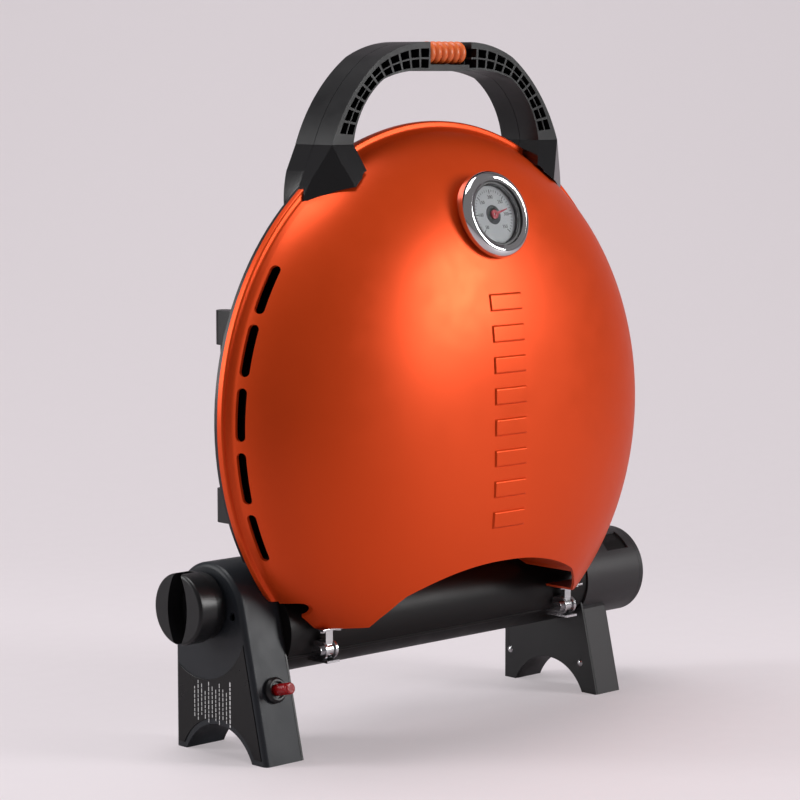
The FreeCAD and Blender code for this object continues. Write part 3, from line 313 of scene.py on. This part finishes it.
def make_materials():
    """One material for each slot of the record."""
    return {
        "lid_paint": lid_paint(),
        "bowl_enamel": surface(
            "black_enamel", (0.007, 0.007, 0.008), (0.010, 0.009, 0.010), (0.3, 0.42),
            grain=800, grain_strength=0.12),
        "housing_plastic": surface(
            "grey_housing", (0.017, 0.020, 0.025), (0.021, 0.024, 0.029), (0.34, 0.44),
            grain=1600, grain_strength=0.3, shine=0.32),
        "sleeve_plastic": surface(
            "warm_grey_housing", (0.030, 0.028, 0.030), (0.035, 0.033, 0.035), (0.38, 0.48),
            grain=1600, grain_strength=0.3, shine=0.4),
        "cover_plastic": surface(
            "black_plastic", (0.006, 0.006, 0.007), (0.009, 0.009, 0.010), (0.30, 0.42),
            grain=1400, grain_strength=0.25),
        "tube_paint": surface(
            "black_powder_coat", (0.004, 0.0035, 0.0035), (0.006, 0.005, 0.005), (0.36, 0.46),
            grain=1200, grain_strength=0.3, shine=0.3),
        "label": surface(
            "label_black", (0.003, 0.003, 0.003), (0.005, 0.004, 0.005), (0.26, 0.34),
            grain=500, grain_strength=0.05, shine=0.3),
        "knob_plastic": surface(
            "knob_plastic", (0.008, 0.008, 0.009), (0.011, 0.011, 0.012), (0.28, 0.38),
            grain=1500, grain_strength=0.25, shine=0.35),
        "bright_steel": surface(
            "zinc_steel", (0.70, 0.70, 0.71), (0.60, 0.60, 0.62), (0.16, 0.28),
            metallic=1.0, grain=400, grain_strength=0.05, stretch=(1, 1, 8)),
        "bezel_chrome": surface(
            "bezel_chrome", (0.86, 0.86, 0.87), (0.80, 0.80, 0.81), (0.04, 0.09),
            metallic=1.0, grain=200, grain_strength=0.01),
        "grip_plastic": surface(
            "grip_plastic", (0.007, 0.007, 0.008), (0.010, 0.010, 0.011), (0.34, 0.44),
            grain=1500, grain_strength=0.3, shine=0.3),
        "socket_plastic": surface(
            "gloss_black", (0.004, 0.004, 0.005), (0.006, 0.006, 0.007), (0.05, 0.09),
            grain=150, grain_strength=0.01, coat=0.5),
        "slider_plastic": surface(
            "slider_orange", (0.80, 0.16, 0.035), (0.74, 0.14, 0.03), (0.36, 0.46),
            grain=1200, grain_strength=0.2),
        "button_plastic": red_button(),
        "dial_face": surface(
            "dial_white", (0.80, 0.80, 0.80), (0.76, 0.76, 0.77), (0.4, 0.5),
            grain=600, grain_strength=0.05),
        "glass": glass(),
        "needle_paint": surface(
            "needle_red", (0.65, 0.01, 0.04), (0.6, 0.01, 0.04), (0.3, 0.4),
            grain_strength=0.02),
        "cast_iron": surface(
            "enamelled_iron", (0.016, 0.016, 0.017), (0.026, 0.026, 0.027), (0.3, 0.5),
            grain=500, grain_strength=0.5),
        "burner_steel": surface(
            "stainless", (0.55, 0.54, 0.52), (0.47, 0.46, 0.44), (0.25, 0.4),
            metallic=1.0, grain=500, grain_strength=0.1, stretch=(1, 6, 1)),
        "brass": surface(
            "brass", (0.62, 0.42, 0.16), (0.55, 0.36, 0.13), (0.25, 0.4),
            metallic=1.0, grain=500),
        "ceramic": surface(
            "ceramic", (0.78, 0.76, 0.70), (0.72, 0.70, 0.64), (0.15, 0.25),
            grain=300, grain_strength=0.03),
        "rubber": surface(
            "rubber", (0.014, 0.014, 0.014), (0.02, 0.02, 0.02), (0.6, 0.75),
            grain=1500, grain_strength=0.4),
        "tray_steel": surface(
            "tray_steel", (0.32, 0.32, 0.32), (0.26, 0.26, 0.26), (0.3, 0.45),
            metallic=1.0, grain=500, stretch=(6, 1, 1)),
    }


# ---------------------------------------------------------------- the lid

def lid_centre_z(depth):
    return CLAM_Z - LID_LEAN * depth


def lid_point(radius, depth, angle):
    """Point of the pressed lid: every section is a circle whose centre drops as the dome gets deeper."""
    return Vector((
        radius * math.cos(angle),
        PARTING_Y - depth,
        lid_centre_z(depth) + radius * math.sin(angle),
    ))


def flange_point(radius, depth, angle):
    """Like lid_point, but the flange itself stays round about the clamshell's centre."""
    share = min(max((radius - LID_RADIUS) / (RIM_RADIUS - LID_RADIUS), 0.0), 1.0)
    return Vector((
        radius * math.cos(angle),
        PARTING_Y - depth,
        lid_centre_z(depth) * (1 - share) + CLAM_Z * share + radius * math.sin(angle),
    ))


def dome_profile(inset, first_angle):
    """(radius, depth) pairs of the dome from its side to its crown, moved inward by inset."""
    stations = 56
    profile = []
    for number in range(stations + 1):
        turn = math.radians(first_angle + (90 - first_angle) * number / stations)
        cosine = max(math.cos(turn), 0.0)
        radius = (LID_RADIUS - inset) * cosine ** (2 / SIDE_POWER)
        profile.append((radius if number < stations else 0.0, (LID_DEPTH - inset) * math.sin(turn)))
    return profile


def lid_outer_profile():
    """Back face, rounded flange lip, hollow corner and dome."""
    lip = 1.8 * MM
    corner = 2.2 * MM
    start = [(0.0, 0.0), (RIM_RADIUS * 0.5, 0.0), (RIM_RADIUS - 0.6 * MM, 0.0), (RIM_RADIUS, 0.6 * MM)]
    for number in range(7):
        turn = math.pi / 2 * number / 6
        start.append((RIM_RADIUS - lip + lip * math.cos(turn), FLANGE - lip + lip * math.sin(turn)))
    for number in range(5):
        turn = math.pi / 2 * number / 4
        depth = FLANGE + corner - corner * math.cos(turn)
        start.append((LID_RADIUS + corner - corner * math.sin(turn), depth))
    first_angle = math.degrees(math.asin((FLANGE + corner) / LID_DEPTH)) + 1.0
    return start + dome_profile(0.0, first_angle)


def lid_inner_profile():
    """Hollow of the lid, from just behind the parting plane to under the crown."""
    mouth = [(0.0, -1.0 * MM), (LID_RADIUS - LID_WALL, -1.0 * MM)]
    return mouth + dome_profile(LID_WALL, 2.0)


def arch_outline(rise):
    """Outline of everything above the lid's lower edge: two lugs and the arch between them."""
    low_z = LUG_Z + rise
    inner = LUG_INNER_X - rise
    top = ARCH_TOP_Z + rise
    rounding = 9 * MM
    flank_x = inner - 24 * MM
    flank_z = LUG_Z + 26 * MM + rise
    steps = 24
    half = []
    for number in range(7):
        share = number / 6
        inward = rounding * share * share * 0.4 + 2 * MM * share
        half.append((inner - inward, low_z + 8 * MM * share ** 1.6))
    half.append((flank_x + 6 * MM, flank_z - 5 * MM))
    for number in range(steps + 1):
        share = number / steps
        x = flank_x * (1 - share)
        z = top - (top - flank_z) * (x / flank_x) ** 2.2
        half.append((x, z))
    left = [(-x, z) for x, z in reversed(half[:-1])]
    far = 0.4
    ceiling = 0.8
    return half + left + [(-far, low_z), (-far, ceiling), (far, ceiling), (far, low_z)]


def slot_outline(length, width):
    """Slot with round ends, as (across, along) pairs."""
    reach = (length - width) / 2
    outline = []
    for end in (1, -1):
        for corner in range(13):
            turn = math.pi * corner / 12
            across = end * width / 2 * math.cos(turn)
            outline.append((across, end * (reach + width / 2 * math.sin(turn))))
    return outline


def vent_cutters():
    """Rounded slots along each side of the lid, in one plane in front of the flange."""
    first, step, count = 29.0, 12.9, 5
    plane = 19.4 * MM
    near, far = 190 * MM, 280 * MM
    outline = slot_outline(44 * MM, 8.6 * MM)
    centre = Vector((0, PARTING_Y - plane, lid_centre_z(plane)))
    points = []
    faces = []
    for number in range(count):
        for angle in (first - number * step, 180 - first + number * step):
            spin = Matrix.Rotation(-math.radians(angle), 4, "Y")
            faces += shifted(prism_faces(len(outline)), len(points))
            points += [spin @ Vector((x, y, z)) + centre for x in (near, far) for y, z in outline]
    mesh = mesh_from("vents", points, faces)
    face_outward(mesh)
    return mesh


def lid_blank():
    """Hollow pressed lid with its lower edge cut to shape."""
    reach = 0.5
    mesh = spun("lid_skin", lid_outer_profile(), flange_point, 288)
    shell = new_object("lid_skin", mesh, "lid", "lid_paint")
    boolean(shell, extruded("edge", arch_outline(0.0), -reach, reach), "INTERSECT")
    inner = bpy.data.objects.new("inner", spun("inner", lid_inner_profile(), lid_point, 192))
    bpy.context.scene.collection.objects.link(inner)
    boolean(inner, extruded("inner_edge", arch_outline(LID_WALL), -reach, reach), "INTERSECT")
    hollow = inner.data.copy()
    bpy.data.objects.remove(inner)
    boolean(shell, hollow, "DIFFERENCE")
    return shell


def make_lid():
    """The lid as it is seen: the blank with its vents, and with room for the tube and the legs."""
    shell = lid_blank()
    boolean(shell, vent_cutters(), "DIFFERENCE")
    room = TUBE_RADIUS + 4.5 * MM
    span = LEG_INNER_X + 2 * MM
    tube_room = cylinder("room", room, (-span, TUBE.y, TUBE.z), (span, TUBE.y, TUBE.z), 128)
    boolean(shell, tube_room, "DIFFERENCE")
    notch_radius = 9 * MM
    notch_z = LUG_Z + 15 * MM
    leg_low, leg_high = 60 * MM, 132 * MM
    for side in (-1, 1):
        notch_x = side * (LEG_INNER_X - 2 * MM)
        notch = cylinder("notch", notch_radius, (notch_x, -0.09, notch_z), (notch_x, -0.005, notch_z), 48)
        boolean(shell, notch, "DIFFERENCE")
        near, far = sorted((side * (LEG_INNER_X - 3 * MM), side * 0.3))
        corners = [(near, leg_low), (far, leg_low), (far, leg_high), (near, leg_high)]
        boolean(shell, extruded("leg", corners, -0.032, 0.01), "DIFFERENCE")
    smooth(shell.data, 28)
    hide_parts("lid_shell")


def dome_y(x, z):
    """Depth of the lid's outer face at a place seen from the front, found by halving."""
    shallow, deep = 0.0, LID_DEPTH
    for _ in range(40):
        depth = (shallow + deep) / 2
        used = 1 - (depth / LID_DEPTH) ** 2
        radius = LID_RADIUS * max(used, 0.0) ** (1 / SIDE_POWER)
        if math.hypot(x, z - lid_centre_z(depth)) < radius:
            shallow = depth
        else:
            deep = depth
    return PARTING_Y - shallow


def eased(value):
    """Goes from 0 to 1 with a soft start and a soft end."""
    value = min(max(value, 0.0), 1.0)
    return value * value * (3 - 2 * value)


def make_embossing():
    """Column of plain raised bars down the middle of the lid. Each bar follows the dome."""
    count = 8
    half_wide, half_tall = 20 * MM, 8 * MM
    slope = 1.8 * MM
    sunk = -0.6 * MM
    height = 2.2 * MM
    under = -1.2 * MM
    top_z, bottom_z = 378 * MM, 192 * MM
    columns, rows = 48, 24
    points = []
    faces = []
    for number in range(count):
        middle_z = top_z + (bottom_z - top_z) * number / (count - 1)
        start = len(points)
        for layer in (1, -1):
            for row in range(rows + 1):
                for column in range(columns + 1):
                    x = half_wide * (2 * column / columns - 1)
                    z = middle_z + half_tall * (2 * row / rows - 1)
                    edge = min(half_wide - abs(x), half_tall - abs(z - middle_z))
                    rise = sunk + height * eased(edge / slope)
                    points.append((x, dome_y(x, z) - (rise if layer > 0 else under), z))
        width = columns + 1
        back = start + (rows + 1) * width
        for row in range(rows):
            for column in range(columns):
                near = start + row * width + column
                far = back + row * width + column
                faces.append((near, near + 1, near + width + 1, near + width))
                faces.append((far, far + width, far + width + 1, far + 1))
        rim = [column for column in range(columns)]
        rim += [row * width + columns for row in range(rows)]
        rim += [rows * width + columns - column for column in range(columns)]
        rim += [(rows - row) * width for row in range(rows)]
        for first, second in zip(rim, rim[1:] + rim[:1]):
            faces.append((start + second, start + first, back + first, back + second))
    bars = new_object("lid_emboss", mesh_from("lid_emboss", points, faces), "lid", "lid_paint")
    smooth(bars.data, 50)


# ---------------------------------------------------------------- dial and label marks

def dial_place():
    """Matrix that puts the XY plane on the dial, with +Y up the dial."""
    dial = middle("gauge_dial")
    outward = (middle("gauge_glass") - dial).normalized()
    up = (Vector((0, 0, 1)) - outward * outward.z).normalized()
    across = up.cross(outward)
    face = dial + outward * 0.5 * MM
    return Matrix((
        (across.x, up.x, outward.x, face.x),
        (across.y, up.y, outward.y, face.y),
        (across.z, up.z, outward.z, face.z),
        (0, 0, 0, 1),
    ))


def bar_points(centre, along, across, lift):
    """Eight corners of a flat bar, in the order that BAR_FACES expects."""
    corners = []
    for height in (0.0, lift):
        for one, two in ((-1, -1), (1, -1), (1, 1), (-1, 1)):
            spot = centre + along * one + across * two
            corners.append(Vector((spot.x, spot.y, spot.z + height)))
    return corners


BAR_FACES = ((0, 3, 2, 1), (4, 5, 6, 7), (0, 1, 5, 4), (1, 2, 6, 5), (2, 3, 7, 6), (3, 0, 4, 7))


def make_dial_marks():
    """Tick marks round the dial, long ones at the numbers, and a raised disc in the middle."""
    onto = dial_place()
    points = []
    faces = []
    sweep = 270
    ticks = 36
    for number in range(ticks + 1):
        turn = math.radians(225 - sweep * number / ticks)
        long_tick = number % 6 == 0
        radial = Vector((math.cos(turn), math.sin(turn), 0))
        along = radial * (1.9 if long_tick else 1.0) * MM
        across = Vector((-radial.y, radial.x, 0)) * (0.32 if long_tick else 0.18) * MM
        start = len(points)
        points += bar_points(radial * (22.2 * MM - along.length), along, across, 0.12 * MM)
        faces += shifted(BAR_FACES, start)
    mesh = mesh_from("dial_ticks", [onto @ point for point in points], faces)
    new_object("dial_ticks", mesh, "lid", "cover_plastic")
    disc = bmesh.new()
    bmesh.ops.create_cone(disc, cap_ends=True, segments=64, radius1=8.5 * MM, radius2=8.2 * MM,
                          depth=0.2 * MM)
    bmesh.ops.transform(disc, matrix=onto, verts=disc.verts)
    disc_mesh = bpy.data.meshes.new("dial_disc")
    disc.to_mesh(disc_mesh)
    disc.free()
    new_object("dial_disc", disc_mesh, "lid", "housing_plastic")


def make_dial_numbers():
    """Plain temperature numbers at the long ticks."""
    onto = dial_place()
    values = (50, 100, 150, 200, 250, 300, 350)
    ring = 15.4 * MM
    for number, value in enumerate(values):
        turn = math.radians(225 - 45 * number)
        text = bpy.data.curves.new("dial_number", "FONT")
        text.body = str(value)
        text.size = 4.2 * MM
        text.extrude = 0.06 * MM
        text.align_x = "CENTER"
        text.align_y = "CENTER"
        holder = bpy.data.objects.new("holder", text)
        bpy.context.scene.collection.objects.link(holder)
        holder.matrix_world = onto @ Matrix.Translation((ring * math.cos(turn), ring * math.sin(turn), 0))
        bpy.context.view_layer.update()
        mesh = bpy.data.meshes.new_from_object(holder.evaluated_get(bpy.context.evaluated_depsgraph_get()))
        mesh.transform(holder.matrix_world)
        bpy.data.objects.remove(holder)
        new_object("dial_number_%d" % value, mesh, "lid", "cover_plastic")


def make_label_lines():
    """Upright rows of short plain dashes that stand for the small print on the label."""
    points = []
    faces = []
    face_x = low("label_plate").x
    rows = 11
    row_step = 4.6 * MM
    gap = 1.0 * MM
    for row in range(rows):
        y = -12 * MM + row * row_step
        bottom = (27 + 2.5 * (row % 3)) * MM
        top = (62 - 4 * ((row * 2) % 3)) * MM
        tall = 0.75 * MM if row == 0 else 0.42 * MM
        z = bottom
        dash = 0
        while z < top:
            length = (2.2 + 1.5 * ((row * 5 + dash * 3) % 4) / 3) * MM
            start = len(points)
            for x in (face_x + 0.02 * MM, face_x - 0.06 * MM):
                for one, two in ((-1, 0), (1, 0), (1, 1), (-1, 1)):
                    points.append((x, y + one * tall, z + two * length))
            faces += shifted(BAR_FACES, start)
            z += length + gap
            dash += 1
    new_object("label_dashes", mesh_from("label_dashes", points, faces), "base", "dial_face")


def make_tube_seam():
    """Folded seam along the lower front of the tube."""
    turn = math.radians(-33)
    count = 96
    start_x, end_x = low("gas_tube").x + 1 * MM, low("right_leg_cover").x - 1 * MM
    section = ((-1.6, -0.4), (-1.6, 0.35), (-1.1, 0.7), (1.1, 0.7), (1.6, 0.35), (1.6, -0.4))
    points = []
    faces = []
    size = len(section)
    for number in range(count + 1):
        x = start_x + (end_x - start_x) * number / count
        for across, out in section:
            reach = TUBE_RADIUS + out * MM
            angle = turn + across * MM / TUBE_RADIUS
            points.append((x, TUBE.y - reach * math.cos(angle), TUBE.z + reach * math.sin(angle)))
    for number in range(count):
        first = number * size
        second = first + size
        for corner in range(size):
            following = (corner + 1) % size
            faces.append((first + corner, first + following, second + following, second + corner))
    faces.append(tuple(reversed(range(size))))
    faces.append(tuple(range(count * size, count * size + size)))
    seam = new_object("tube_seam", mesh_from("tube_seam", points, faces), "base", "tube_paint")
    smooth(seam.data, 40)


# ---------------------------------------------------------------- stage, light and camera

SWEEP_GLOW = 0.30
CAMERA_TURN = -43.93
CAMERA_RISE = 6.57
CAMERA_REACH = 2.5322
AIM = Vector((-0.01508, 0.0, 0.28545))
LENS = 129.5


def sweep_material():
    """Pale paper. It glows a little for the camera alone, so it stays light without lighting the grill."""
    material = surface("sweep", (0.50, 0.456, 0.481), (0.49, 0.446, 0.471), (0.6, 0.7),
                       grain=200, grain_strength=0.02, patch=2)
    tree = material.node_tree
    shader = tree.nodes["Principled BSDF"]
    path = tree.nodes.new("ShaderNodeLightPath")
    glow = tree.nodes.new("ShaderNodeMath")
    glow.operation = "MULTIPLY"
    glow.inputs[1].default_value = SWEEP_GLOW
    tree.links.new(path.outputs["Is Camera Ray"], glow.inputs[0])
    tree.links.new(glow.outputs["Value"], shader.inputs["Emission Strength"])
    shader.inputs["Emission Color"].default_value = (1.0, 0.935, 0.965, 1)
    return material


def make_stage():
    """Pale seamless sweep: floor in front, curving up into the wall."""
    width = 6.0
    bend = 1.6
    wall = 2.4
    profile = [(-5.0, 0.0), (wall - bend, 0.0)]
    for number in range(1, 17):
        turn = math.pi / 2 * number / 16
        profile.append((wall - bend + bend * math.sin(turn), bend - bend * math.cos(turn)))
    profile.append((wall, 5.0))
    points = []
    faces = []
    spin = Matrix.Rotation(math.radians(CAMERA_TURN), 4, "Z")
    for number, (forward, up) in enumerate(profile):
        for side in (-width, width):
            points.append(spin @ Vector((side, forward, up)))
        if number:
            base = 2 * number
            faces.append((base - 2, base - 1, base + 1, base))
    floor = new_object("floor", mesh_from("floor", points, faces), None)
    smooth(floor.data, 60)
    floor.data.materials.append(sweep_material())


def soft_light(name, spot, target, width, height, power, colour=(1, 1, 1)):
    light = bpy.data.lights.new(name, "AREA")
    light.shape = "RECTANGLE"
    light.size = width
    light.size_y = height
    light.energy = power
    light.color = colour
    lamp = bpy.data.objects.new(name, light)
    bpy.context.scene.collection.objects.link(lamp)
    lamp.location = spot
    lamp.rotation_euler = (Vector(target) - Vector(spot)).to_track_quat("-Z", "Y").to_euler()


def around(turn, rise, reach):
    """A place seen from the aim point: turn 0 is straight in front, negative turns go to the left."""
    turn = math.radians(turn)
    rise = math.radians(rise)
    flat = math.cos(rise)
    return AIM + reach * Vector((math.sin(turn) * flat, -math.cos(turn) * flat, math.sin(rise)))


def make_lights():
    """Dim room, a soft light overhead and one tall soft light on each side of the camera."""
    world = bpy.data.worlds.new("studio")
    world.use_nodes = True
    world.node_tree.nodes["Background"].inputs["Color"].default_value = (0.90, 0.86, 0.88, 1)
    world.node_tree.nodes["Background"].inputs["Strength"].default_value = 0.2
    bpy.context.scene.world = world
    bpy.context.scene.view_settings.view_transform = "Standard"
    soft_light("overhead", (-0.3, 0.3, 2.5), AIM, 1.4, 1.4, 34)
    soft_light("left_bank", around(-128, 20, 2.2), AIM, 0.5, 1.6, 22)
    soft_light("right_bank", around(34, 16, 2.4), AIM, 0.7, 0.9, 31)


def make_camera():
    """Long lens from the front left, slightly above the middle of the grill."""
    camera = bpy.data.cameras.new("camera")
    camera.lens = LENS
    camera.sensor_width = 36
    camera.clip_end = 50
    holder = bpy.data.objects.new("camera", camera)
    bpy.context.scene.collection.objects.link(holder)
    holder.location = around(CAMERA_TURN, CAMERA_RISE, CAMERA_REACH)
    holder.rotation_euler = (AIM - holder.location).to_track_quat("-Z", "Y").to_euler()
    bpy.context.scene.camera = holder


# ---------------------------------------------------------------- put together

def dress_nodes(materials):
    """Puts each CAD node's material on it and rounds its edges."""
    slots = {part["node"]: part["material_slot"] for part in frame["record"]["subparts"]}
    usual_width = 0.4
    widths = {
        "control_knob": 1.2,
        "left_leg_housing": 0.8,
        "right_leg_housing": 0.8,
        "lid_handle": 0.7,
        "base_handle": 2.2,
        "lid_socket_left": 3.2,
        "lid_socket_right": 3.2,
        "base_socket_left": 3.2,
        "base_socket_right": 3.2,
    }
    plain = ("gauge_glass", "ignition_cable", "gas_hose")
    for name, node in frame["nodes"].items():
        material = materials[slots[name]]
        if not node.material_slots:
            node.data.materials.append(material)
        for slot in node.material_slots:
            slot.material = material
        if name not in plain:
            bevel(node, widths.get(name, usual_width) * MM)


def main():
    materials = make_materials()
    dress_nodes(materials)
    make_lid()
    make_embossing()
    make_dial_marks()
    make_dial_numbers()
    make_label_lines()
    make_tube_seam()
    for name, slot in made_pieces:
        mesh = bpy.data.objects[name].data
        mesh.materials.clear()
        mesh.materials.append(materials[slot])
    make_stage()
    make_lights()
    make_camera()


main()
